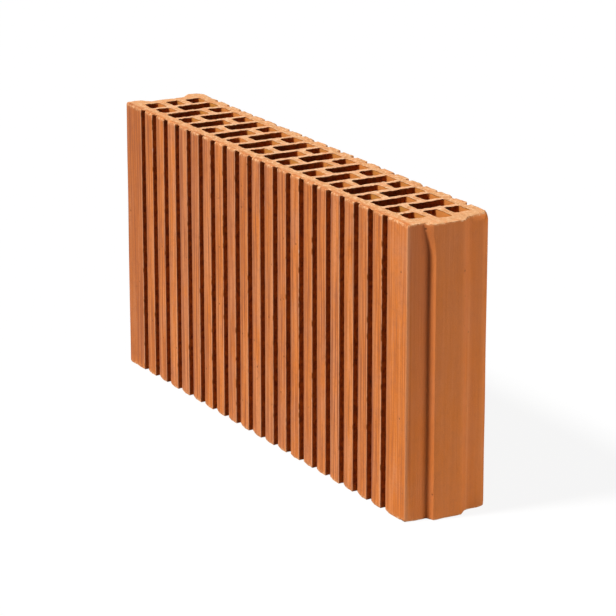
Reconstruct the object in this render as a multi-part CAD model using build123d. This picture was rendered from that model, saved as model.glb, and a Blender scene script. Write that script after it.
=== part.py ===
from build123d import *
import os

os.makedirs("parts", exist_ok=True)

# Block of fired clay, in millimetres: length along X, depth along Y, extruded along Z
block_length = 500.0
block_depth = 80.0
block_height = 249.0

# Tongue on the right-hand end, between two flat strips of that end
front_flat = 20.0
back_flat = 22.5
tongue_height = 7.5
tongue_front_run = 2.4
tongue_back_run = 8.3
tongue_foot_round = 0.8
tongue_crown_round = 1.0
tongue_back_round = 6.0

# Recess in the left-hand end, which takes the tongue of the next block with room to spare
recess_front_clearance = 5.0
recess_back_clearance = 8.0
recess_end_clearance = 1.8
recess_side_run = 7.5
recess_round = 4.0

# Rounds on the four upright corners
front_left_round = 8.0
back_left_round = 7.0
front_right_round = 1.0
back_right_round = 10.0

# Upright cells: columns along the length, with walls between them and around them
cell_width = 16.2
cell_round = 1.6
middle_cell_depth = 12.4
cross_web = 6.2
long_web = 7.5
shell = 11.7
recess_wall = 10.7
tongue_end_wall = 15.4
tongue_cell_reach = 8.0

# Plaster-key grooves on both long faces, one over every cross web
groove_width = 6.8
groove_depth = 5.0
rib_round = 1.5

# Shares
half_share = 0.5

# Planes of the plan, with the whole length centred on the origin
left = -half_share * (block_length + tongue_height)
right = left + block_length
front = -half_share * block_depth
back = half_share * block_depth
tongue_crown = right + tongue_height
recess_floor = left + tongue_height + recess_end_clearance

# Edges of the tongue and of the recess, from front to back
tongue_foot_front = front + front_flat
tongue_crown_front = tongue_foot_front + tongue_front_run
tongue_foot_back = back - back_flat
tongue_crown_back = tongue_foot_back - tongue_back_run
recess_mouth_front = tongue_foot_front - recess_front_clearance
recess_floor_front = recess_mouth_front + recess_side_run
recess_mouth_back = tongue_foot_back + recess_back_clearance
recess_floor_back = recess_mouth_back - recess_side_run

# Columns of cells that fit between the two ends
pitch = cell_width + cross_web
first_cell = recess_floor + recess_wall
columns = int((right - tongue_end_wall - first_cell + cross_web) / pitch)

# Rows of cells, from front to back
middle_front = -half_share * middle_cell_depth
middle_back = half_share * middle_cell_depth
row_front = (front + shell, middle_front - long_web)
row_middle = (middle_front, middle_back)
row_back = (middle_back + long_web, back - shell)
row_long_front = (front + shell, middle_back)
row_long_back = (middle_front, back - shell)


def plain_outline():
    """Plan of the block without its grooves: two long faces, a tongue and a recess, all with rounds."""
    corners = [
        ((left, front), front_left_round),
        ((right, front), front_right_round),
        ((right, tongue_foot_front), tongue_foot_round),
        ((tongue_crown, tongue_crown_front), tongue_crown_round),
        ((tongue_crown, tongue_crown_back), tongue_back_round),
        ((right, tongue_foot_back), tongue_back_round),
        ((right, back), back_right_round),
        ((left, back), back_left_round),
        ((left, recess_mouth_back), recess_round),
        ((recess_floor, recess_floor_back), recess_round),
        ((recess_floor, recess_floor_front), recess_round),
        ((left, recess_mouth_front), recess_round),
    ]
    outline = make_face(Polyline(*[point for point, _ in corners], close=True))
    for point, radius in corners:
        outline = fillet(outline.vertices().sort_by_distance(point)[0], radius)
    return outline


def groove_profile():
    """Section of one groove: the long face lies on Y zero, the floor on plus Y, the rib edges are round."""
    overrun = rib_round + rib_round
    slot = Pos(0, half_share * groove_depth) * Rectangle(groove_width, groove_depth)
    mouth = Pos(0, -half_share * overrun) * Rectangle(groove_width + overrun + overrun, overrun)
    profile = slot + mouth
    rib_edges = profile.vertices().group_by(Axis.Y)[1].sort_by(Axis.X)[1:-1]
    return fillet(rib_edges, rib_round)


def cell(x_start, x_end, row):
    """Plan of one cell between two places along the length, in a row from front to back."""
    y_start, y_end = row
    place = Pos(half_share * (x_start + x_end), half_share * (y_start + y_end))
    return place * RectangleRounded(x_end - x_start, y_end - y_start, cell_round)


# Cells: three in each end column, then a short and a long one, which change places from column to column
cells = []
for column in range(columns):
    x_start = first_cell + column * pitch
    x_end = x_start + cell_width
    if column == 0:
        cells += [cell(x_start, x_end, row) for row in (row_front, row_middle, row_back)]
    elif column == columns - 1:
        cells += [cell(x_start, x_end, row) for row in (row_front, row_back)]
        cells += [cell(x_start, x_end + tongue_cell_reach, row_middle)]
    elif column % 2 == 1:
        cells += [cell(x_start, x_end, row) for row in (row_front, row_long_back)]
    else:
        cells += [cell(x_start, x_end, row) for row in (row_long_front, row_back)]

# Grooves: a pair on every cross web, the back one turned about to face the other way
grooves = []
groove = groove_profile()
for column in range(1, columns):
    web_middle = first_cell + column * pitch - half_share * cross_web
    grooves += [Pos(web_middle, front) * groove]
    grooves += [Pos(web_middle, back) * Rot(0, 0, 180) * groove]

# The column of clay as it leaves the die, wire-cut to height
section = plain_outline() - grooves - cells
clay_block = extrude(section, block_height)

export_step(clay_block, "parts/clay_block.step")
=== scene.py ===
import math

import bpy
import numpy as np
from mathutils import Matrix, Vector


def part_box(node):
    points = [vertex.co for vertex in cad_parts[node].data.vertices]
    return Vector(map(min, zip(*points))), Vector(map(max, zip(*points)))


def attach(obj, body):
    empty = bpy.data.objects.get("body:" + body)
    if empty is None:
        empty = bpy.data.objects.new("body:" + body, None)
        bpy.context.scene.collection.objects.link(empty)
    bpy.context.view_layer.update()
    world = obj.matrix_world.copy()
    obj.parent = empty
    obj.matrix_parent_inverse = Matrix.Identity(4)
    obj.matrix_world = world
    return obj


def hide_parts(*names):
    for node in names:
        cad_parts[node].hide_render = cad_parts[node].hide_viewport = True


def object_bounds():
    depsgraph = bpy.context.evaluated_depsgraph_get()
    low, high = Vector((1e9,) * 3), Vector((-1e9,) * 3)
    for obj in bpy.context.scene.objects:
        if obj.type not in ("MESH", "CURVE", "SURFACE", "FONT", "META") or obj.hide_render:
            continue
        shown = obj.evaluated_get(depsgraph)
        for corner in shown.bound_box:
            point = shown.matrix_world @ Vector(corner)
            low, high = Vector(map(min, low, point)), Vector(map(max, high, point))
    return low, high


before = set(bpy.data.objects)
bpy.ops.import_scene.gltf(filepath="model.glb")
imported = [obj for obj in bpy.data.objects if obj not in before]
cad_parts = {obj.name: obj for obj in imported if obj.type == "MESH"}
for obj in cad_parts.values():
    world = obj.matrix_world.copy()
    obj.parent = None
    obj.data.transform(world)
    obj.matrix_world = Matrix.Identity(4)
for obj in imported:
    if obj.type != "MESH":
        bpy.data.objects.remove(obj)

cad_low, cad_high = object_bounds()


# The block's plan: one piece of brick clay, pressed through a die as a long column with grooved faces,
# a tongue on one end, a recess in the other and rows of upright cells, then cut to height by a wire.
# All sizes are in metres and are those of the solid block.
block_low, block_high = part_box("clay_block")
left, front, bed_z = block_low
tongue_crown, back, top_z = block_high
block_height = top_z - bed_z

front_flat = 0.0200
back_flat = 0.0225
tongue_height = 0.0075
tongue_front_run = 0.0024
tongue_back_run = 0.0083
tongue_foot_round = 0.0008
tongue_crown_round = 0.0010
tongue_back_round = 0.0060
recess_front_clearance = 0.0050
recess_back_clearance = 0.0080
recess_end_clearance = 0.0018
recess_side_run = 0.0075
recess_round = 0.0040
front_left_round = 0.0080
back_left_round = 0.0070
front_right_round = 0.0010
back_right_round = 0.0100
cell_width = 0.0162
cell_round = 0.0016
middle_cell_depth = 0.0124
cross_web = 0.0062
long_web = 0.0075
shell = 0.0117
recess_wall = 0.0107
tongue_end_wall = 0.0154
tongue_cell_reach = 0.0080
groove_width = 0.0068
groove_depth = 0.0050
rib_round = 0.0015
hair = 1e-6

right = tongue_crown - tongue_height
recess_floor = left + tongue_height + recess_end_clearance
tongue_foot_front = front + front_flat
tongue_crown_front = tongue_foot_front + tongue_front_run
tongue_foot_back = back - back_flat
tongue_crown_back = tongue_foot_back - tongue_back_run
recess_mouth_front = tongue_foot_front - recess_front_clearance
recess_floor_front = recess_mouth_front + recess_side_run
recess_mouth_back = tongue_foot_back + recess_back_clearance
recess_floor_back = recess_mouth_back - recess_side_run
pitch = cell_width + cross_web
first_cell = recess_floor + recess_wall
columns = int((right - tongue_end_wall - first_cell + cross_web) / pitch)
last_cell_end = first_cell + columns * pitch - cross_web
middle_front = -middle_cell_depth / 2
middle_back = middle_cell_depth / 2
front_cell = front + shell
front_cell_end = middle_front - long_web
back_cell = middle_back + long_web
back_cell_end = back - shell


def divided(stops, longest):
    """Places along a line: every stretch between two stops is cut into equal parts no longer than longest."""
    parts = [np.linspace(a, b, math.ceil((b - a) / longest - hair), endpoint=False)
             for a, b in zip(stops, stops[1:])]
    return np.concatenate([*parts, stops[-1:]])


def rounded_line(start, corners, end, run_parts):
    """Open line from start to end: at each corner the two straight runs are joined by an arc of that
    corner's radius, which leaves each run at radius times the tangent of half the turn before the corner.
    Every arc is cut into its own number of parts, and every straight run between into run_parts."""
    points = np.array([start, *[place for place, _, _ in corners], end])
    runs = np.diff(points, axis=0)
    ways = runs / np.linalg.norm(runs, axis=1, keepdims=True)
    line = [points[:1]]
    for (place, radius, arc_parts), parts, way_in, way_out in zip(corners, run_parts, ways, ways[1:]):
        turn = math.atan2(way_in[0] * way_out[1] - way_in[1] * way_out[0], way_in @ way_out)
        side = math.copysign(1.0, turn) * np.array([-way_in[1], way_in[0]])
        arc_start = np.array(place) - way_in * radius * math.tan(abs(turn) / 2)
        if parts:
            line.append(np.linspace(line[-1][-1], arc_start, parts + 1)[1:])
        angle = np.linspace(0, abs(turn), arc_parts + 1)[1:, None]
        line.append(arc_start + radius * (np.sin(angle) * way_in + (1 - np.cos(angle)) * side))
    return np.concatenate(line)


def left_of(line):
    """Unit ways out to the left of a line at each of its points: the line's run there, turned a quarter."""
    run = np.gradient(line, axis=0)
    return np.stack([-run[:, 1], run[:, 0]], axis=1) / np.linalg.norm(run, axis=1)[:, None]


# Lines of the plan's grid: along the length they fall on every cell wall and groove wall,
# and across the depth on every row of cells, so a cell or a groove is a run of squares left out
grid_step = 0.0021
grid_slack = grid_step / 9
rib_line_count = 6
web_middles = first_cell - cross_web / 2 + pitch * np.arange(columns + 1)
groove_webs = web_middles[1:-1]
web_steps = np.array([0, cross_web / 4, cross_web / 2])
rib_start = cross_web / 2 + cell_round
rib_steps = np.linspace(rib_start, pitch - cross_web / 2 - cell_round, rib_line_count)
x_steps = np.concatenate([web_steps, rib_steps, pitch - web_steps[:0:-1]])
x_field = (web_middles[:, None] + x_steps).ravel()
x_field = x_field[(x_field > first_cell - grid_slack) & (x_field < last_cell_end + grid_slack)]
y_stops = [
    front, front + rib_round, front + groove_depth, front_cell, front_cell + cell_round,
    front_cell_end - cell_round, front_cell_end, middle_front, middle_front + cell_round,
    middle_back - cell_round, middle_back, back_cell, back_cell + cell_round,
    back_cell_end - cell_round, back_cell_end, back - groove_depth, back - rib_round, back,
]
y_lines = divided(y_stops, grid_step)

# Outlines of the two ends: the parts of their arcs and straight runs add up to the lines across the depth
corner_parts = 6
bend_parts = 3
tight_parts = 4
recess_run_parts = (0, 2, 3, 11, 3, 2)
tongue_run_parts = (0, 7, 3, 7, 2, 3)
recess_line = rounded_line(
    (left + front_left_round, front),
    [((left, front), front_left_round, corner_parts),
     ((left, recess_mouth_front), recess_round, bend_parts),
     ((recess_floor, recess_floor_front), recess_round, bend_parts),
     ((recess_floor, recess_floor_back), recess_round, bend_parts),
     ((left, recess_mouth_back), recess_round, bend_parts),
     ((left, back), back_left_round, corner_parts)],
    (left + back_left_round, back), recess_run_parts)
tongue_line = rounded_line(
    (right - front_right_round, front),
    [((right, front), front_right_round, tight_parts),
     ((right, tongue_foot_front), tongue_foot_round, bend_parts),
     ((tongue_crown, tongue_crown_front), tongue_crown_round, tight_parts),
     ((tongue_crown, tongue_crown_back), tongue_back_round, bend_parts),
     ((right, tongue_foot_back), tongue_back_round, bend_parts),
     ((right, back), back_right_round, corner_parts)],
    (right - back_right_round, back), tongue_run_parts)

# The grid itself: the field of cells, a short strip that the deep tongue cell reaches into,
# and at either end a strip that runs over from straight lines to the end's own outline
strip_line_count = 4
strip_narrowing = 0.6
strip_steps = np.linspace(0, tongue_cell_reach - cell_round, strip_line_count)[1:]
tongue_strip = last_cell_end + np.append(strip_steps, tongue_cell_reach)
x_lines = np.concatenate([x_field, tongue_strip])
straight = np.stack(np.meshgrid(x_lines, y_lines, indexing="ij"), axis=2)
web_gaps = x_lines[:, None] - groove_webs
nearest_gap = web_gaps[np.arange(len(x_lines)), np.abs(web_gaps).argmin(axis=1)]
groove_lines = np.isclose(np.abs(nearest_gap), cross_web / 2)
face_rows = np.abs(y_lines) > back - groove_depth - hair
straight[:, face_rows, 0] += (groove_lines * np.sign(nearest_gap))[:, None] * (groove_width - cross_web) / 2
back_share = np.clip((np.abs(y_lines) - back_cell) / (back_cell_end - back_cell), 0, 1)
strip_share = 1 - strip_narrowing * back_share
straight[len(x_field):, :, 0] = last_cell_end + (straight[len(x_field):, :, 0] - last_cell_end) * strip_share
end_shares = np.array([0, 0.09, 0.25, 0.45, 0.66, 0.84])[:, None, None]
recess_end = (1 - end_shares) * recess_line + end_shares * straight[0]
tongue_end = (1 - end_shares[::-1]) * tongue_line + end_shares[::-1] * straight[-1]
plan = np.concatenate([recess_end, straight, tongue_end])

# Squares of the grid that are open: cells, which change places from column to column, and grooves
y_middles = (y_lines[1:] + y_lines[:-1]) / 2
x_middles = np.full(len(plan) - 1, np.nan)
x_middles[len(recess_end):len(recess_end) + len(x_lines) - 1] = (x_lines[1:] + x_lines[:-1]) / 2
in_front = (y_middles > front_cell) & (y_middles < front_cell_end)
in_middle = (y_middles > middle_front) & (y_middles < middle_back)
in_back = (y_middles > back_cell) & (y_middles < back_cell_end)
in_long_front = (y_middles > front_cell) & (y_middles < middle_back)
in_long_back = (y_middles > middle_front) & (y_middles < back_cell_end)
column = np.floor((x_middles - first_cell) / pitch)[:, None]
in_column = ((x_middles - first_cell) % pitch < cell_width) & (x_middles < last_cell_end)
end_column = (column == 0) | (column == columns - 1)
odd_column = (column % 2 == 1) & ~end_column
cell_rows = np.where(odd_column, in_front | in_long_back, in_long_front | in_back)
cell_rows = np.where(end_column, in_front | in_middle | in_back, cell_rows)
cell_open = in_column[:, None] & cell_rows
cell_open |= (x_middles > last_cell_end)[:, None] & in_middle
web_offset = np.abs(x_middles[:, None] - groove_webs).min(axis=1)
groove_rows = (y_middles < front + groove_depth) | (y_middles > back - groove_depth)
groove_open = (web_offset < groove_width / 2)[:, None] & groove_rows
clay = ~(cell_open | groove_open)

# Which of the four squares round each grid point are clay, and which way the clay lies
around = np.pad(clay, 1)
quarter = np.stack([around[:-1, :-1], around[1:, :-1], around[:-1, 1:], around[1:, 1:]]).astype(float)
clay_count = quarter.sum(axis=0)
clay_way = np.stack([quarter[1] + quarter[3] - quarter[0] - quarter[2],
                     quarter[2] + quarter[3] - quarter[0] - quarter[1]], axis=2)

# Corners of cells and ribs are drawn in to the middle of their round, which is crisp on the tongue side
# of each rib and worn on its recess side
corner_cut = 1 - math.sqrt(0.5)
crisp_share = 0.15
worn_share = 1.2
inner = np.zeros(clay_count.shape, bool)
inner[1:-1] = True
rib_corner = inner & (clay_count == 1)
cell_corner = inner & (clay_count == 3) & (np.abs(y_lines) < back - shell + hair)
rib_cut = corner_cut * rib_round * np.where(clay_way[rib_corner][:, :1] < 0, crisp_share, worn_share)
plan[rib_corner] += rib_cut * clay_way[rib_corner]
plan[cell_corner] -= corner_cut * cell_round * clay_way[cell_corner]

# Way out of the clay at each point of a wall
outward = -clay_way / np.maximum(np.linalg.norm(clay_way, axis=2, keepdims=True), 1)
outward[0] = left_of(recess_line)
outward[-1] = -left_of(tongue_line)


def wall_edges(open_squares):
    """Pairs of grid points along the walls of the given open squares, as flat indices: seen from the open
    side with Z up, the first point of each pair is on the left."""
    index = np.arange(plan.shape[0] * plan.shape[1]).reshape(plan.shape[:2])
    here, there = index[:-1, :], index[1:, :]
    faces_front = around[1:-1, 1:] & open_squares[1:-1, :-1]
    faces_back = around[1:-1, :-1] & open_squares[1:-1, 1:]
    pairs = [(here[faces_front], there[faces_front]), (there[faces_back], here[faces_back])]
    here, there = index[:, :-1], index[:, 1:]
    faces_left = around[1:, 1:-1] & open_squares[:-1, 1:-1]
    faces_right = around[:-1, 1:-1] & open_squares[1:, 1:-1]
    pairs += [(there[faces_left], here[faces_left]), (here[faces_right], there[faces_right])]
    return np.concatenate([a for a, _ in pairs]), np.concatenate([b for _, b in pairs])


# The block's body: the plan drawn down from the upper cut face to the lower one. The outer skin has many
# levels, the cell walls fewer, and both crowd together near the cut faces, where burrs and chips are.
skin_levels = np.array([0, 0.0003, 0.0008, 0.0015, 0.0025, 0.0040, 0.0065, 0.0100, 0.0150, 0.0220, 0.0300])
cell_levels = np.array([0, 0.0004, 0.0010, 0.0022, 0.0045, 0.0090, 0.0180])
skin_step = 0.0075
cell_step = 0.032
cut_kind, skin_kind, cell_kind = 0, 1, 2


def levels_down(crowded, longest):
    """Heights from the upper cut face to the lower one: crowded steps at both ends, even steps between."""
    even = divided([crowded[-1], block_height - crowded[-1]], longest)
    return top_z - np.concatenate([crowded[:-1], even, block_height - crowded[-2::-1]])


flat_plan = plan.reshape(-1, 2)
flat_outward = outward.reshape(-1, 2)
used = np.flatnonzero(clay_count.ravel() > 0)
top_index = np.full(len(flat_plan), -1)
top_index[used] = np.arange(len(used))
bed_index = np.where(top_index >= 0, top_index + len(used), -1)
places = [np.column_stack([flat_plan[used], np.full(len(used), top_z)]),
          np.column_stack([flat_plan[used], np.full(len(used), bed_z)])]
ways_out = [flat_outward[used], flat_outward[used]]
sources = [used, used]
square = np.argwhere(clay) @ [plan.shape[1], 1]
corner_steps = np.array([0, plan.shape[1], plan.shape[1] + 1, 1])
square_corners = square[:, None] + corner_steps
quads = [top_index[square_corners], bed_index[square_corners[:, ::-1]]]
kinds = [np.full(2 * len(used), cut_kind)]
next_index = 2 * len(used)
walls = ((skin_kind, np.pad(groove_open, 1, constant_values=True), levels_down(skin_levels, skin_step)),
         (cell_kind, np.pad(cell_open, 1), levels_down(cell_levels, cell_step)))
rims = {}
for wall, gap, heights in walls:
    first, second = wall_edges(gap)
    ring, ring_place = np.unique(first, return_inverse=True)
    second_place = np.searchsorted(ring, second)
    inner_count = len(heights) - 2
    inner_index = next_index + np.arange(len(ring) * inner_count).reshape(len(ring), inner_count)
    next_index += len(ring) * inner_count
    level_index = np.column_stack([top_index[ring], inner_index, bed_index[ring]])
    a, b = level_index[ring_place], level_index[second_place]
    quads.append(np.stack([a[:, :-1], a[:, 1:], b[:, 1:], b[:, :-1]], axis=2).reshape(-1, 4))
    ring_plan = np.repeat(flat_plan[ring], inner_count, axis=0)
    places.append(np.column_stack([ring_plan, np.tile(heights[1:-1], len(ring))]))
    ways_out.append(np.repeat(flat_outward[ring], inner_count, axis=0))
    sources.append(np.repeat(ring, inner_count))
    kinds.append(np.full(len(ring) * inner_count, wall))
    rims[wall] = ring
outer_rim, cell_rim = rims[skin_kind], rims[cell_kind]
place = np.concatenate(places)
way_out = np.concatenate(ways_out)
source = np.concatenate(sources)
kind = np.concatenate(kinds)
quad = np.concatenate(quads)


# Marks of making and handling: the die drags the walls, the wire tears the cut faces and leaves burrs at
# the cell mouths, the clay at the head of the tongue is dragged forwards, and arrises chip on the way.
def ripple(points, size, seed, waves=14):
    """Smooth pattern of about -1 to 1: a sum of cosine waves near one length, in random directions."""
    rng = np.random.default_rng(seed)
    ways = rng.normal(size=(waves, points.shape[1]))
    turns = 2 * math.pi / size * rng.uniform(0.6, 1.5, (waves, 1))
    ways *= turns / np.linalg.norm(ways, axis=1, keepdims=True)
    return np.cos(points @ ways.T + rng.uniform(0, 2 * math.pi, waves)).sum(axis=1) / math.sqrt(waves)


def rise(value, start, end):
    """Smooth step from 0 at start to 1 at end: three times the share's square less twice its cube."""
    share = np.clip((value - start) / (end - start), 0, 1)
    return share * share * (3 - 2 * share)


def swell(depth, reach):
    """Bell that is 1 at depth zero: e to the minus square of depth over reach."""
    return np.exp(-(depth / reach) ** 2)


plan_x, plan_y = flat_plan[source].T
below_top = top_z - place[:, 2]
above_bed = place[:, 2] - bed_z
cut_depth = np.minimum(below_top, above_bed)
upper_half = below_top < above_bed
front_half = plan_y < 0
to_middle = np.where(upper_half, -1, 1)
at_cut = kind == cut_kind
skin_wall = kind == skin_kind
cell_wall = kind == cell_kind
at_top = at_cut & upper_half
at_outer_rim = at_cut & np.isin(source, outer_rim)
at_cell_rim = at_cut & np.isin(source, cell_rim)
at_rim = at_outer_rim | at_cell_rim
off_rim = at_cut & ~at_outer_rim
on_outer_skin = skin_wall | at_outer_rim
on_cell_wall = cell_wall | at_cell_rim
on_rib_corner = rib_corner.ravel()[source] & skin_wall
behind_face = np.minimum(plan_y - front, back - plan_y)
nearest_web = np.abs(plan_x[:, None] - groove_webs).argmin(axis=1)
from_web = plan_x - groove_webs[nearest_web]
past_groove = from_web - groove_width / 2
in_groove = on_outer_skin & (np.abs(from_web) < groove_width / 2 + hair) & (behind_face < groove_depth + hair)

# Slight unevenness that the die leaves in the walls, kept inside the outer planes
drag_depth = 0.00005
drag_stretch = 0.03
sway_depth = 0.00012
nibble_depth = 0.00016
mouth_depth = 0.00018
upright = place * [1, 1, drag_stretch]
move = drag_depth * ripple(upright, size=0.005, seed=1) + sway_depth * ripple(place, size=0.11, seed=2)
move = np.where(skin_wall, np.minimum(move - drag_depth - sway_depth, 0), move)
move = np.where(on_rib_corner, -nibble_depth * np.maximum(ripple(place, size=0.012, seed=13), 0), move)
move = np.where(on_outer_skin, np.minimum(move, 0), move)
move = np.where(at_cell_rim, mouth_depth * ripple(place, size=0.005, seed=6), move)
move = np.where(at_cut & ~at_rim, 0, move)
place[:, :2] += way_out * move[:, None]

# Arrises of the cut faces, rounded by handling: most at the tongue end and its back corner
plain_round = 0.0008
tongue_end_round = 0.0007
back_corner_round = 0.0008
recess_end_round = 0.0006
back_edge_round = 0.0012
rib_end_round = 0.0008
largest_round = 0.0036
uneven_share = 0.25
least_share, most_share = 0.35, 1.7
round_reach = 0.0065
drawn_reach = 0.0035
on_corner_x = rise(plan_x, right - 0.010, right - 0.002)
on_corner_y = rise(plan_y, back - 0.018, back - 0.004)
on_rib_end = front_half * upper_half * (1 - rise(behind_face, 0.0010, 0.0052))
edge_round = plain_round + tongue_end_round * rise(plan_x, right - 0.012, right - 0.002)
edge_round += back_corner_round * on_corner_x * on_corner_y
edge_round += recess_end_round * (1 - rise(plan_x, left + 0.004, left + 0.012))
edge_round += back_edge_round * rise(plan_y, back - 0.004, back)
edge_round += rib_end_round * on_rib_end
fine_uneven = uneven_share * ripple(place, size=0.006, seed=3)
broad_uneven = uneven_share * ripple(place, size=0.022, seed=4)
edge_round *= np.clip(1 + fine_uneven + broad_uneven, least_share, most_share)
edge_round = np.minimum(edge_round, largest_round)
rim_drop = corner_cut * edge_round
rim_depth = rim_drop + cut_depth * (1 - rim_drop / round_reach)
round_depth = np.where(on_outer_skin & (cut_depth < round_reach), rim_depth, cut_depth)
over_edge = np.clip(edge_round - round_depth, 0, None)
worn_back = edge_round - np.sqrt(np.maximum(edge_round ** 2 - over_edge ** 2, 0))
place[:, :2] -= way_out * (worn_back * on_outer_skin)[:, None]
place[:, 2] += (round_depth - cut_depth) * to_middle

# The cut face goes down with its arris, as far in as the round reaches
rim_plan = flat_plan[outer_rim]
used_plan = flat_plan[used]
square_gap = (used_plan ** 2).sum(axis=1)[:, None] + (rim_plan ** 2).sum(axis=1) - 2 * used_plan @ rim_plan.T
rim_gap = np.zeros(len(place))
rim_gap[at_cut] = np.tile(np.sqrt(np.maximum(square_gap.min(axis=1), 0)), 2)
rim_way = np.zeros((len(place), 2))
rim_way[at_cut] = np.tile(flat_outward[outer_rim][square_gap.argmin(axis=1)], (2, 1))
drawn_in = rim_drop * np.clip(1 - rim_gap / drawn_reach, 0, 1) * off_rim
place[:, :2] -= rim_way * drawn_in[:, None]
over_rim = np.clip(edge_round - rim_gap - drawn_in, 0, None)
worn_down = edge_round - np.sqrt(np.maximum(edge_round ** 2 - over_rim ** 2, 0))
place[:, 2] += worn_down * off_rim * to_middle

# The upper arris of the tongue end is worn back towards its back corner, over a longer way down than in
worn_height = 0.0062
worn_bend = 1.4
end_wear = 0.0036
end_strip = 0.012
back_wear = 0.0006
back_strip = 0.010
worn_fade = np.clip(1 - below_top / worn_height, 0, 1) ** worn_bend
end_move = end_wear * rise(plan_y, tongue_foot_back - 0.004, back - 0.005)
back_move = back_wear * rise(plan_x, right - 0.016, right - 0.004)
place[:, 0] -= end_move * np.clip((plan_x - right + end_strip) / end_strip, 0, 1) * worn_fade
place[:, 1] -= back_move * np.clip((plan_y - back + back_strip) / back_strip, 0, 1) * worn_fade

# The wire runs from the recess end to the tongue end: it drags lips of clay over the grooves and cells
# that it meets, and closes the heads of the front grooves
lip_height = 0.0022
lip_reach = np.where(front_half, 0.0003, 0.0024)
floor_lip_reach = np.where(front_half, 0, 0.0016)
head_setback = 0.0009
cell_lip_height = 0.0008
cell_lip_reach = 0.0005
side_lip_share = 0.4
facing_share = 0.3
least_lip, most_lip = 0.30, 1.05
most_closed = 0.95
least_cell_lip, most_cell_lip = -0.6, 0.8
fine_ragged = 0.30 * ripple(place[:, :2], size=0.0045, seed=5)
broad_ragged = 0.22 * ripple(place[:, :2], size=0.013, seed=10)
ragged = 0.62 + fine_ragged + broad_ragged
lip_fade = swell(below_top, lip_height)
lip = np.clip(ragged + 0.12, least_lip, most_lip) * lip_fade
on_groove_floor = in_groove & (behind_face > groove_depth - hair)
across = np.clip(0.5 - from_web / groove_width, 0, 1)
place[:, 0] += lip_reach * lip * across * in_groove
place[:, 1] += floor_lip_reach * lip * on_groove_floor * np.where(front_half, -1, 1)
closed_share = np.clip(0.25 + 0.7 * lip, 0, most_closed) * lip_fade
place[:, 1] -= np.maximum(behind_face - head_setback, 0) * closed_share * (in_groove & front_half)
faces_tongue_end = way_out[:, 0] > facing_share
cell_lip = np.clip(2.0 * ragged - 1.7, least_cell_lip, most_cell_lip) * swell(cut_depth, cell_lip_height)
side_lip = side_lip_share * cell_lip_reach * cell_lip * np.sign(way_out[:, 1])
place[:, 0] += cell_lip_reach * cell_lip * (on_cell_wall & faces_tongue_end)
place[:, 1] += side_lip * (on_cell_wall & ~faces_tongue_end)

# Mouths of the cells, broken wider where the wire leaves them
mouth_height = 0.0012
end_mouth_wear = 0.0011
side_mouth_wear = 0.0006
least_wear, most_wear = 0.3, 1.25
faces_recess_end = way_out[:, 0] < -facing_share
faces_back = (way_out[:, 0] < facing_share) & (way_out[:, 1] > 0.5)
mouth_wear = np.where(faces_recess_end, end_mouth_wear, np.where(faces_back, side_mouth_wear, 0.0))
fine_wear = 0.35 * ripple(place[:, :2], size=0.004, seed=14)
broad_wear = 0.25 * ripple(place[:, :2], size=0.014, seed=15)
mouth_wear *= np.clip(1 + fine_wear + broad_wear, least_wear, most_wear)
mouth_wear *= on_cell_wall * swell(cut_depth, mouth_height)
place[:, :2] -= way_out * mouth_wear[:, None]

# Lower edge of each rib, pressed in where the wire enters
press_depth = 0.0027
press_reach = 0.0090
press_behind = 0.007
press_height = 0.010
least_press, most_press = 0.65, 1.30
press_rng = np.random.default_rng(12)
rib_press = press_depth * press_rng.uniform(least_press, most_press, columns - 1)[nearest_web]
pressed = np.where(past_groove > -hair, np.clip(1 - past_groove / press_reach, 0, 1) ** 2, 0)
pressed *= np.clip(1 - behind_face / press_behind, 0, 1)
place[:, 2] += rib_press * pressed * np.clip(1 - above_bed / press_height, 0, 1)

# Torn grain of the two cut faces, which fades out a little way down the walls
torn_depth = 0.00026
torn_share = 0.6
torn_reach = 0.004
deepest_down = 0.0008
deepest_up = 0.0005
fine_torn = torn_share * ripple(flat_plan[source], size=0.0045, seed=7)
broad_torn = torn_share * ripple(flat_plan[source], size=0.020, seed=8)
torn = torn_depth * (1 + fine_torn + broad_torn)
torn_down = np.clip(torn, 0, deepest_down) * upper_half
torn_up = np.clip(torn - torn_depth, 0, deepest_up) * ~upper_half
place[:, 2] += (torn_up - torn_down) * np.clip(1 - cut_depth / torn_reach, 0, 1)

# Head of the tongue's front flank, dragged forwards, its foot further than its crown
foot_drag = 0.0048
crown_drag = 0.0028
flank_height = 0.034
flank_bend = 1.6
flank_y = (tongue_foot_front + tongue_crown_front) / 2
on_flank = rise(plan_y, flank_y - 0.011, flank_y - 0.002)
on_flank *= 1 - rise(plan_y, flank_y + 0.002, flank_y + 0.015)
on_flank *= rise(plan_x, right - 0.005, right)
flank_drag = foot_drag + (crown_drag - foot_drag) * rise(plan_x, right, tongue_crown)
place[:, 1] -= flank_drag * on_flank * rise(place[:, 2], top_z - flank_height, top_z) ** flank_bend

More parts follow.
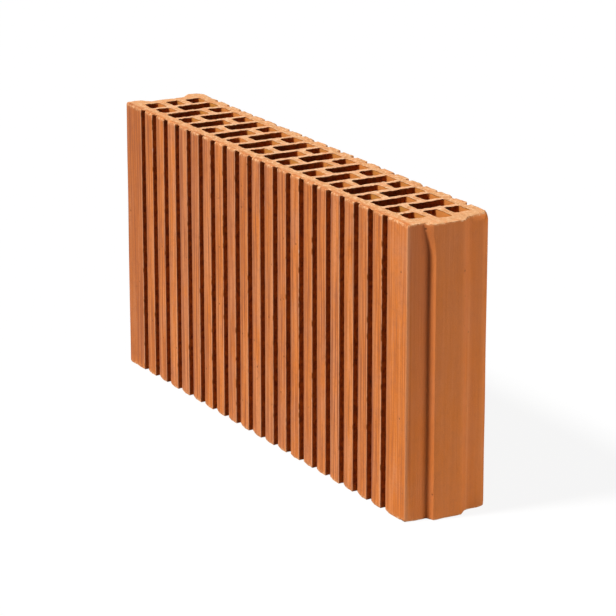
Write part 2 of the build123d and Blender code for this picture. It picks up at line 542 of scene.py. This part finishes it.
# Chips at the arrises, bitten out as parts of balls: most of them small, and rather more of them above
small_bias = 2.4
upper_share = 0.55
chip_rng = np.random.default_rng(9)
chip_groups = ((outer_rim, 260, 0.0010, 0.0036, 0.66), (cell_rim, 200, 0.0009, 0.0020, 0.70))
for rim, count, smallest, largest, stand_off in chip_groups:
    chosen = chip_rng.choice(rim, count)
    radii = smallest + (largest - smallest) * chip_rng.random(count) ** small_bias
    upper = chip_rng.random(count) < upper_share
    edge_z = np.where(upper, top_z, bed_z)
    off_z = np.where(upper, 1, -1) * radii * stand_off * chip_rng.uniform(0.5, 1.0, count)
    chip_plan = flat_plan[chosen] + flat_outward[chosen] * (radii * stand_off)[:, None]
    for centre, radius in zip(np.column_stack([chip_plan, edge_z + off_z]), radii):
        away = place - centre
        distance = np.linalg.norm(away, axis=1)
        bitten = distance < radius
        pushed = radius / np.maximum(distance[bitten], radius / 9)
        place[bitten] = centre + away[bitten] * pushed[:, None]
place = np.clip(place, block_low, block_high)

sharp_turn = math.radians(38)
clay_mesh = bpy.data.meshes.new("clay_block_fired")
clay_mesh.from_pydata(place, [], quad)
clay_mesh.validate()
clay_mesh.polygons.foreach_set("use_smooth", np.ones(len(clay_mesh.polygons), bool))
clay_mesh.set_sharp_from_angle(angle=sharp_turn)
clay_block = bpy.data.objects.new("clay_block_fired", clay_mesh)
bpy.context.collection.objects.link(clay_block)

# Where the surface is cut, worn, in a groove or in a cell, for the finish of the clay and the painted shade
# in the grooves
floor_paling = 0.6
cut_dust = 0.25
groove_dust_depth = 0.0002
from_wall = groove_width / 2 - np.abs(from_web)
# Painted shade in the grooves: from just behind the face inwards, weaker away from the side walls, fading
# near the cut faces
groove_shade_mark = rise(behind_face, 0.0002, 0.0012) * (1 - floor_paling * rise(from_wall, 0, 0.0026))
head_fade = np.where(front_half, rise(below_top, 0.0008, 0.0026), rise(cut_depth, 0.003, 0.016))
face_dust_depth = np.where(plan_x > right - 0.002, 0.0018, 0.0032)
dust_depth = np.where(cell_wall | in_groove, groove_dust_depth, face_dust_depth)
wall_dust = 1 - rise(cut_depth, 0, dust_depth)
front_cut = rise(place[:, 1], front + 0.0022, front + 0.0064)

# Each rib has a tone and a shade of its own, and the plain margins have set ones
recess_margin_light, recess_margin_tone = 2.6, 0.3
tongue_margin_light, tongue_margin_tone = 0.25, 0.1
tone_rng = np.random.default_rng(21)
rib_lights = tone_rng.random(columns + 1)
rib_lights[0] = recess_margin_light
rib_lights[-2:] = tongue_margin_light
rib_tones = tone_rng.random(columns + 1)
rib_tones[0] = recess_margin_tone
rib_tones[-2:] = tongue_margin_tone
rib_number = np.searchsorted(groove_webs, plan_x)

# Painted shade on the tongue end: darker upwards, most of all on its front flat
flat_foot_shade = 0.5
flat_head_shade = 2.4
tongue_head_shade = 1.2
on_end = plan_x > right - 0.0003
on_front_flat = on_end & (plan_y < tongue_foot_front + 0.0005) & (plan_y > front + 0.0006)
on_tongue = on_end & (plan_y > tongue_crown_front)
up_share = rise(place[:, 2], bed_z, top_z)
flat_shade = np.where(on_front_flat, flat_foot_shade + flat_head_shade * up_share, 0.0)
flat_shade = np.where(on_tongue, tongue_head_shade * up_share, flat_shade)

# Edges of the ribs and of the tongue end, with painted shade and painted highlights, and how strongly the
# die's drag shows
bed_share = 0.3
edge_shade_reach = 0.0085
edge_shade_bend = 1.4
arris_width = 0.0012
arris_highlight = 0.30
line_offset = 0.0012
line_width = 0.0011
margin_drag = 0.55
plain_drag = 0.10
off_bed = bed_share + (1 - bed_share) * rise(above_bed, 0.003, 0.011)
on_rib = skin_wall & (behind_face < rib_round)
# Painted shade across each rib from its recess-side edge, fading out over its reach
edge_shade_fade = np.clip(1 - past_groove / edge_shade_reach, 0, 1) ** edge_shade_bend
beside_end = skin_wall & (plan_x > right - arris_width)
on_right_arris = beside_end & (plan_y < front + arris_width)
# Painted highlight of a crease just behind the tongue's back foot, fading out towards the top
crease_highlight = swell(plan_y - tongue_foot_back - line_offset, line_width)
crease_highlight *= 1 - rise(place[:, 2], 0.6 * top_z, 0.9 * top_z)
face_drag = np.where(rib_number == columns - 1, margin_drag, 1.0)
in_field = (plan_x > first_cell) & (plan_x < last_cell_end) & (np.abs(plan_y) < back_cell_end)
past_field = (plan_x < first_cell - 0.001) | (plan_x > last_cell_end + 0.001)
marks = {
    "cut_face": np.where(at_cut, np.where(at_top, front_cut, 1.0), 0.0),
    "worn_edge": np.where(at_rim, 1.0, np.where(at_cut, cut_dust, wall_dust)),
    # Painted shade in the grooves
    "groove_depth": np.where(in_groove, groove_shade_mark, 0) * head_fade,
    # Painted shade over every cell wall
    "in_cell": np.where(cell_wall, 1.0, 0.0),
    # Painted light on the cell walls that face the front, near the cut faces
    "lit_cell_wall": np.where(cell_wall & (way_out[:, 1] < -0.5), 1 - rise(cut_depth, 0.003, 0.014), 0.0),
    "cross_web": np.where(at_cut & in_field & (np.abs(from_web) < cross_web), 1.0, 0.0),
    "rib_edge": np.where(on_rib_corner, 1.0, 0.0),
    # Painted shade along each rib's recess-side edge
    "rib_edge_shade": np.where(on_rib & (past_groove > -hair), edge_shade_fade, 0.0) * off_bed,
    "rib_tone": rib_tones[rib_number],
    # Each rib's own random darkness, plus the painted shade on the tongue end
    "rib_light": rib_lights[rib_number] * off_bed + flat_shade,
    # Painted highlight of the crease behind the tongue's back foot
    "crease_highlight": np.where(beside_end, crease_highlight, 0.0),
    # Painted highlight on each rib's tongue-side edge and, fainter, on the tongue end's front arris
    "edge_highlight": np.where(on_rib_corner & (way_out[:, 0] > 0), 1.0, arris_highlight * on_right_arris),
    "end_cut": np.where(at_cut & past_field, 1.0, 0.0),
    "die_drag": np.where(np.abs(plan_y) > back - groove_depth - hair, face_drag, plain_drag),
}
for name, values in marks.items():
    mark = clay_mesh.attributes.new(name, "FLOAT", "POINT")
    mark.data.foreach_set("value", values.astype(np.float32))


# Fired clay: an unglazed, matt, orange red body that fires unevenly from brick orange to dusty pink.
# Its walls carry the die's upright drag lines, dark grit and pin holes, its cut faces are torn and paler.
fired_orange = (0.735, 0.203, 0.028, 1)
fired_pink = (0.668, 0.224, 0.080, 1)
torn_clay = (0.950, 0.600, 0.340, 1)
dusty_edge = (0.680, 0.300, 0.115, 1)
grit_brown = (0.110, 0.034, 0.014, 1)
# Painted shade in the grooves: this brown and the near black two lines below
groove_shade_brown = (0.500, 0.120, 0.003, 1)
nick_brown = (0.340, 0.076, 0.003, 1)
groove_shade_black = (0.165, 0.032, 0.001, 1)
# Painted shade in the cells: this brown and the dark below it
cell_shade_brown = (0.560, 0.150, 0.013, 1)
cell_shade_dark = (0.215, 0.050, 0.004, 1)
# Brown die streaks, also used for painted shade on the tongue end
streak_and_shade_brown = (0.400, 0.115, 0.040, 1)
# Pale die streaks, also used for a painted highlight
streak_and_highlight_pale = (0.800, 0.300, 0.110, 1)
# Painted shade on the ribs' recess-side edges
edge_shade_grey = (0.350, 0.118, 0.058, 1)
# Painted light on the lit cell walls: this orange and the olive below it
lit_wall_orange = (0.730, 0.248, 0.052, 1)
lit_wall_olive = (0.620, 0.250, 0.040, 1)
web_pale = (0.800, 0.430, 0.225, 1)
# Painted highlight on crisp edges
highlight_pale = (0.860, 0.430, 0.225, 1)
crumb_white = (0.950, 0.760, 0.600, 1)
shell_peach = (0.705, 0.330, 0.132, 1)
end_peach = (0.755, 0.375, 0.165, 1)

fired_clay = bpy.data.materials.new("fired_clay")
fired_clay.use_nodes = True
nodes = fired_clay.node_tree.nodes
links = fired_clay.node_tree.links
shader = nodes["Principled BSDF"]
shader.inputs["Roughness"].default_value = 0.93
shader.inputs["Specular IOR Level"].default_value = 0.22
coords = nodes.new("ShaderNodeTexCoord").outputs["Object"]


def stretched(scale):
    """Object coordinates scaled along each axis, so that a pattern runs long where the scale is small."""
    mapping = nodes.new("ShaderNodeMapping")
    mapping.inputs["Scale"].default_value = scale
    links.new(coords, mapping.inputs["Vector"])
    return mapping.outputs["Vector"]


def noise(vector, scale, detail=3.0, rough=0.55):
    """Cloudy pattern of 0 to 1 with about scale patches to the metre."""
    texture = nodes.new("ShaderNodeTexNoise")
    texture.inputs["Scale"].default_value = scale
    texture.inputs["Detail"].default_value = detail
    texture.inputs["Roughness"].default_value = rough
    links.new(vector, texture.inputs["Vector"])
    return texture.outputs["Fac"]


def ranged(value, low_in, high_in, low_out=0.0, high_out=1.0):
    """Value carried from one range to another and held at its ends."""
    node = nodes.new("ShaderNodeMapRange")
    for name, number in (("From Min", low_in), ("From Max", high_in),
                         ("To Min", low_out), ("To Max", high_out)):
        node.inputs[name].default_value = number
    links.new(value, node.inputs["Value"])
    return node.outputs["Result"]


def joined(operation, first, second):
    """Two values put together by a sum, product or the like."""
    node = nodes.new("ShaderNodeMath")
    node.operation = operation
    for socket, value in zip(node.inputs, (first, second)):
        if isinstance(value, (int, float)):
            socket.default_value = value
        else:
            links.new(value, socket)
    return node.outputs[0]


def centred(pattern, share):
    """Pattern of 0 to 1 turned into a shift either way: the pattern less a half, times the share."""
    return joined("MULTIPLY", joined("SUBTRACT", pattern, 0.5), share)


def mixed(factor, first, second):
    """Two colours mixed by a factor."""
    node = nodes.new("ShaderNodeMix")
    node.data_type = "RGBA"
    for socket, value in ((node.inputs[0], factor), (node.inputs[6], first), (node.inputs[7], second)):
        if isinstance(value, tuple):
            socket.default_value = value
        else:
            links.new(value, socket)
    return node.outputs[2]


def layered(base, colour, mark, share):
    """Base colour with a thin layer of another over it, as strong as the mark times the share."""
    return mixed(joined("MULTIPLY", mark, share), base, colour)


def painted(name):
    """One of the marks stored on the mesh."""
    node = nodes.new("ShaderNodeAttribute")
    node.attribute_name = name
    return node.outputs["Fac"]


def scattered(vector, scale):
    """Points scattered about scale to the metre: the distance to the nearest, and its number of 0 to 1."""
    points = nodes.new("ShaderNodeTexVoronoi")
    points.inputs["Scale"].default_value = scale
    links.new(vector, points.inputs["Vector"])
    pick = nodes.new("ShaderNodeSeparateColor")
    links.new(points.outputs["Color"], pick.inputs["Color"])
    return points.outputs["Distance"], pick.outputs[0]


def spots(scatter, core, rim, pick_off, pick_on):
    """Spots at scattered points: full inside the core, gone at the rim, none where the number is at pick_off
    and all of it where the number is at pick_on."""
    distance, pick = scatter
    return joined("MULTIPLY", ranged(distance, core, rim, 1, 0), ranged(pick, pick_off, pick_on))


# Patterns of the clay, with the number of patches to the metre
drag_lines = noise(stretched((1, 1, 0.03)), scale=900, detail=3, rough=0.6)
broad_lines = noise(stretched((1, 1, 0.08)), scale=110, detail=2)
streaks = noise(stretched((1, 1, 0.025)), scale=430, detail=2, rough=0.5)
flecks = noise(stretched((1, 1, 0.22)), scale=260, detail=3, rough=0.65)
kiln_patches = noise(coords, scale=16, detail=4, rough=0.6)
mottle = noise(stretched((1, 1, 0.45)), scale=60, detail=3, rough=0.6)
groove_shade_mottle = noise(stretched((1, 1, 0.75)), scale=250, detail=4, rough=0.7)
cell_shade_mottle = noise(stretched((1, 1, 0.5)), scale=330, detail=3, rough=0.65)
lit_wall_patches = noise(coords, scale=28, detail=2)
blotches = noise(coords, scale=120, detail=4, rough=0.65)
grain = noise(coords, scale=1500, detail=2, rough=0.7)
torn_grain = noise(coords, scale=420, detail=4, rough=0.7)
wire_lines = noise(stretched((1, 0.07, 1)), scale=380, detail=3)
grit_spots = spots(scattered(coords, scale=190), core=0.07, rim=0.22, pick_off=0.945, pick_on=0.955)
nick_scatter = scattered(stretched((1, 1, 0.6)), scale=230)
rib_edge = ranged(painted("rib_edge"), 0.25, 0.60)
nick_spots = spots(nick_scatter, core=0.26, rim=0.50, pick_off=0.64, pick_on=0.68)
nick_spots = joined("MULTIPLY", nick_spots, rib_edge)
crumbs = spots(nick_scatter, core=0.20, rim=0.40, pick_off=0.03, pick_on=0.02)
crumbs = joined("MULTIPLY", crumbs, rib_edge)
cut_face = painted("cut_face")
worn_edge = painted("worn_edge")
in_cell = painted("in_cell")
end_cut = painted("end_cut")
die_drag = painted("die_drag")

# Walls: fired from orange to pink, streaked by the die, with painted shade in the grooves and cells, dusty at
# the rims
least_drag = 0.22
mottle_share = 0.95
fleck_share = 0.9
rib_light_share = 0.20
edge_shade_share = 0.64
crease_highlight_share = 0.40
groove_shade_share = 0.92
cell_shade_share = 0.85
nick_share = 0.85
crumb_share = 0.65
drag_share = ranged(die_drag, least_drag, 1, 0.30, 1)
rib_shift = centred(painted("rib_tone"), ranged(die_drag, least_drag, 1, 0, 0.36))
fleck_shift = joined("MULTIPLY", centred(flecks, fleck_share), die_drag)
kiln_shift = joined("ADD", joined("SUBTRACT", kiln_patches, 0.5), centred(mottle, mottle_share))
kiln_middle = ranged(die_drag, least_drag, 1, 0.47, 0.46)
kiln_tone = joined("ADD", joined("MULTIPLY", kiln_shift, drag_share), kiln_middle)
tone = joined("ADD", joined("ADD", kiln_tone, fleck_shift), rib_shift)
wall_colour = mixed(ranged(tone, 0.35, 0.65), fired_orange, fired_pink)
wall_colour = layered(wall_colour, streak_and_highlight_pale, drag_share, ranged(broad_lines, 0.40, 0.70, 0, 0.16))
wall_colour = layered(wall_colour, streak_and_shade_brown, drag_share, ranged(blotches, 0.34, 0.52, 0.38, 0))
wall_colour = layered(wall_colour, streak_and_shade_brown, die_drag, ranged(streaks, 0.36, 0.50, 0.90, 0))
wall_colour = layered(wall_colour, streak_and_highlight_pale, die_drag, ranged(streaks, 0.50, 0.66, 0, 0.85))
wall_colour = layered(wall_colour, streak_and_shade_brown, die_drag, ranged(torn_grain, 0.34, 0.48, 0.30, 0))
# Each rib's own random darkness, plus the painted shade on the tongue end
wall_colour = layered(wall_colour, streak_and_shade_brown, painted("rib_light"), rib_light_share)
# Painted shade along the ribs' recess-side edges
wall_colour = layered(wall_colour, edge_shade_grey, painted("rib_edge_shade"), edge_shade_share)
# Painted highlight on the ribs' tongue-side edges and the tongue end's front arris
wall_colour = mixed(painted("edge_highlight"), wall_colour, highlight_pale)
# Painted highlight of the crease behind the tongue's back foot
wall_colour = layered(wall_colour, streak_and_highlight_pale, painted("crease_highlight"), crease_highlight_share)
# Painted shade in the grooves, mottled from brown to near black
groove_shade_colour = mixed(ranged(groove_shade_mottle, 0.36, 0.62, 1, 0), groove_shade_brown, groove_shade_black)
wall_colour = layered(wall_colour, groove_shade_colour, painted("groove_depth"), groove_shade_share)
# Painted shade on the cell walls, mottled from brown to dark
cell_shade_colour = mixed(ranged(cell_shade_mottle, 0.40, 0.60, 0.85, 0), cell_shade_brown, cell_shade_dark)
wall_colour = layered(wall_colour, cell_shade_colour, in_cell, cell_shade_share)
# Painted light on the cell walls that face the front, laid over the painted shade of the cells
lit_wall_colour = mixed(ranged(lit_wall_patches, 0.34, 0.54), lit_wall_olive, lit_wall_orange)
wall_colour = mixed(painted("lit_cell_wall"), wall_colour, lit_wall_colour)
wall_colour = layered(wall_colour, dusty_edge, worn_edge, ranged(torn_grain, 0.32, 0.62, 0.15, 1.0))
wall_colour = layered(wall_colour, streak_and_shade_brown, worn_edge, ranged(torn_grain, 0.36, 0.46, 0.60, 0))
wall_colour = layered(wall_colour, nick_brown, nick_spots, nick_share)
wall_colour = layered(wall_colour, crumb_white, crumbs, crumb_share)

# Cut faces: torn and pale, palest on the cross webs, then crumbs at their rims and grit all over
grit_share = 0.65
web_colour = mixed(painted("cross_web"), shell_peach, web_pale)
cut_colour = mixed(end_cut, web_colour, end_peach)
cut_colour = layered(cut_colour, torn_clay, ranged(torn_grain, 0.48, 0.64), ranged(end_cut, 0, 1, 1, 0.45))
cut_colour = mixed(ranged(blotches, 0.36, 0.50, 0.60, 0), cut_colour, streak_and_highlight_pale)
cut_colour = mixed(ranged(torn_grain, 0.30, 0.42, 0.55, 0), cut_colour, streak_and_shade_brown)
surface = mixed(cut_face, wall_colour, cut_colour)
rim_crumbs = joined("MULTIPLY", worn_edge, ranged(torn_grain, 0.52, 0.62, 0, 0.80))
surface = layered(surface, torn_clay, rim_crumbs, ranged(in_cell, 0, 1, 1, 0))
surface = layered(surface, grit_brown, grit_spots, grit_share)
surface = mixed(ranged(grain, 0.3, 0.7, 0.12, 0.0), surface, grit_brown)
links.new(surface, shader.inputs["Base Color"])

# Fine relief: drag lines on the walls, torn grain and wire lines on the cut faces, pits where spots are
pit_depth = 0.6
grain_depth = 0.35
torn_grain_depth = 0.9
wire_line_depth = 0.6
drag_relief = joined("MULTIPLY", drag_lines, ranged(die_drag, least_drag, 1, 0.35, 0.75))
wall_relief = joined("ADD", drag_relief, joined("MULTIPLY", grain, grain_depth))
wire_relief = joined("MULTIPLY", wire_lines, wire_line_depth)
torn_relief = joined("ADD", joined("MULTIPLY", torn_grain, torn_grain_depth), wire_relief)
relief = nodes.new("ShaderNodeMix")
links.new(cut_face, relief.inputs[0])
links.new(wall_relief, relief.inputs[2])
links.new(torn_relief, relief.inputs[3])
pits = joined("MAXIMUM", grit_spots, nick_spots)
pitted = joined("SUBTRACT", relief.outputs[0], joined("MULTIPLY", pits, pit_depth))
bump = nodes.new("ShaderNodeBump")
bump.inputs["Strength"].default_value = 0.75
bump.inputs["Distance"].default_value = 0.0011
links.new(pitted, bump.inputs["Height"])
links.new(bump.outputs["Normal"], shader.inputs["Normal"])
clay_mesh.materials.append(fired_clay)

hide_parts("clay_block")
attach(clay_block, "root")


# Studio floor: a wide sweep of white paper that the block stands on. It throws back only a little light,
# and the camera sees it as white with a faint shadow.
paper_half = 14.0
paper_corners = [(-paper_half, -paper_half, 0), (paper_half, -paper_half, 0),
                 (paper_half, paper_half, 0), (-paper_half, paper_half, 0)]
paper_mesh = bpy.data.meshes.new("studio_floor")
paper_mesh.from_pydata(paper_corners, [], [(0, 1, 2, 3)])
studio_floor = bpy.data.objects.new("studio_floor", paper_mesh)
bpy.context.collection.objects.link(studio_floor)


def seen_rays(tree):
    """Factor that is 1 for rays that the camera sees, straight or by way of a mirror or glass, and else 0."""
    rays = tree.nodes.new("ShaderNodeLightPath")
    carried = tree.nodes.new("ShaderNodeMath")
    carried.operation = "ADD"
    tree.links.new(rays.outputs["Is Glossy Ray"], carried.inputs[0])
    tree.links.new(rays.outputs["Is Transmission Ray"], carried.inputs[1])
    seen = tree.nodes.new("ShaderNodeMath")
    seen.operation = "ADD"
    seen.use_clamp = True
    tree.links.new(rays.outputs["Is Camera Ray"], seen.inputs[0])
    tree.links.new(carried.outputs[0], seen.inputs[1])
    return seen.outputs[0]


white_share = 0.91
paper = bpy.data.materials.new("white_paper")
paper.use_nodes = True
paper_nodes = paper.node_tree.nodes
paper_links = paper.node_tree.links
paper_body = paper_nodes["Principled BSDF"]
paper_body.inputs["Base Color"].default_value = (0.32, 0.32, 0.32, 1)
paper_body.inputs["Roughness"].default_value = 0.9
paper_body.inputs["Specular IOR Level"].default_value = 0.0
paper_shade = paper_nodes.new("ShaderNodeBsdfDiffuse")
paper_shade.inputs["Color"].default_value = (0.85, 0.85, 0.85, 1)
paper_white = paper_nodes.new("ShaderNodeEmission")
paper_white.inputs["Strength"].default_value = 1.0
paper_seen = paper_nodes.new("ShaderNodeMixShader")
paper_seen.inputs[0].default_value = white_share
paper_links.new(paper_shade.outputs[0], paper_seen.inputs[1])
paper_links.new(paper_white.outputs[0], paper_seen.inputs[2])
paper_mix = paper_nodes.new("ShaderNodeMixShader")
paper_links.new(seen_rays(paper.node_tree), paper_mix.inputs[0])
paper_links.new(paper_body.outputs[0], paper_mix.inputs[1])
paper_links.new(paper_seen.outputs[0], paper_mix.inputs[2])
paper_links.new(paper_mix.outputs[0], paper_nodes["Material Output"].inputs["Surface"])
paper_mesh.materials.append(paper)

# Studio light: a slightly soft sun from the front, a little to the left and above, a low strip lamp off
# the tongue end and a little behind it, and a pale room all round that the camera sees as white.
block_centre = (Vector(cad_low) + Vector(cad_high)) / 2

key_lamp = bpy.data.lights.new("key_light", "SUN")
key_lamp.energy = 4.6
key_lamp.angle = math.radians(9)
key_light = bpy.data.objects.new("key_light", key_lamp)
key_way = Vector((-0.12, -0.72, 0.98))
key_light.rotation_euler = (-key_way).to_track_quat("-Z", "Y").to_euler()
bpy.context.collection.objects.link(key_light)

end_lamp = bpy.data.lights.new("end_light", "AREA")
end_lamp.shape = "RECTANGLE"
end_lamp.size = 1.4
end_lamp.size_y = 0.20
end_lamp.energy = 46
end_light = bpy.data.objects.new("end_light", end_lamp)
end_way = Vector((1.0, 0.60, 0.0))
end_distance = 3.0
end_light.location = block_centre + end_way.normalized() * end_distance
end_light.rotation_euler = (block_centre - end_light.location).to_track_quat("-Z", "Y").to_euler()
bpy.context.collection.objects.link(end_light)

room = bpy.data.worlds.new("studio_room")
room.use_nodes = True
room_nodes = room.node_tree.nodes
room_links = room.node_tree.links
room_glow = room_nodes["Background"]
room_glow.inputs["Color"].default_value = (1, 1, 1, 1)
room_glow.inputs["Strength"].default_value = 0.03
room_white = room_nodes.new("ShaderNodeBackground")
room_white.inputs["Color"].default_value = (1, 1, 1, 1)
room_white.inputs["Strength"].default_value = 1.0
room_mix = room_nodes.new("ShaderNodeMixShader")
room_links.new(seen_rays(room.node_tree), room_mix.inputs[0])
room_links.new(room_glow.outputs[0], room_mix.inputs[1])
room_links.new(room_white.outputs[0], room_mix.inputs[2])
room_links.new(room_mix.outputs[0], room_nodes["World Output"].inputs["Surface"])
bpy.context.scene.world = room
bpy.context.scene.view_settings.view_transform = "Standard"

# Camera: a long lens with no roll, off the tongue end and a little above the block, looking slightly down.
# It aims a little to one side of the block's middle, so that the block sits in the picture as photographed.
view_turn = math.radians(60.26)
view_rise = math.radians(16.73)
view_distance = 2.644
aim_right = 0.0094
aim_up = -0.0130
level_share = math.cos(view_rise)
back_x = math.sin(view_turn) * level_share
back_y = -math.cos(view_turn) * level_share
back_way = Vector((back_x, back_y, math.sin(view_rise)))
right_way = Vector((math.cos(view_turn), math.sin(view_turn), 0))
up_way = back_way.cross(right_way)
lens = bpy.data.cameras.new("camera")
lens.sensor_width = 36.0
lens.lens = 177.9
lens.clip_start = 0.1
lens.clip_end = 100
camera = bpy.data.objects.new("camera", lens)
camera.location = block_centre + right_way * aim_right + up_way * aim_up + back_way * view_distance
camera.rotation_euler = (-back_way).to_track_quat("-Z", "Y").to_euler()
bpy.context.collection.objects.link(camera)
bpy.context.scene.camera = camera
